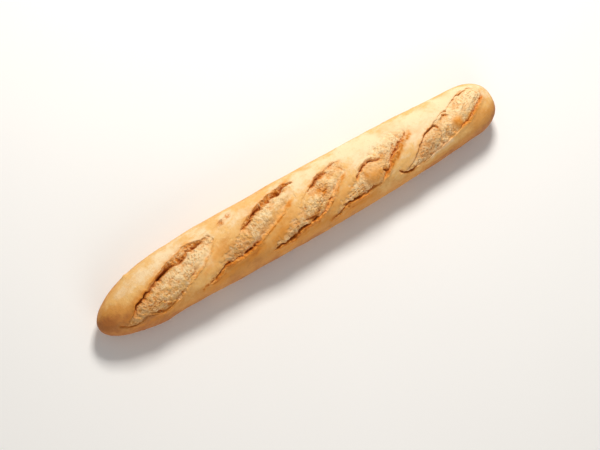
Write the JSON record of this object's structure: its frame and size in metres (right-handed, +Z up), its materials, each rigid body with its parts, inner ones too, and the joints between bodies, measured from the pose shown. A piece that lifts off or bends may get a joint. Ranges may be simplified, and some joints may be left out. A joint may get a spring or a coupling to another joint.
{
  "type": "baguette",
  "caption": "Long crusty loaf of white bread, tapered at the ends and flat underneath, with oblique slashes opened along its top.",
  "frame": {"origin": "middle of the loaf's bounding box, on the flat bottom", "axes": "+X along the loaf towards its blunter end, +Z up, -Y towards the side where the slashes start low"},
  "size_m": [0.5, 0.073, 0.0569],
  "materials": {
    "crust": "dry floury baked crust, matte, golden on the sides and paler on top"
  },
  "bodies": {
    "root": {"loaf": "crust"}
  },
  "joints": []
}
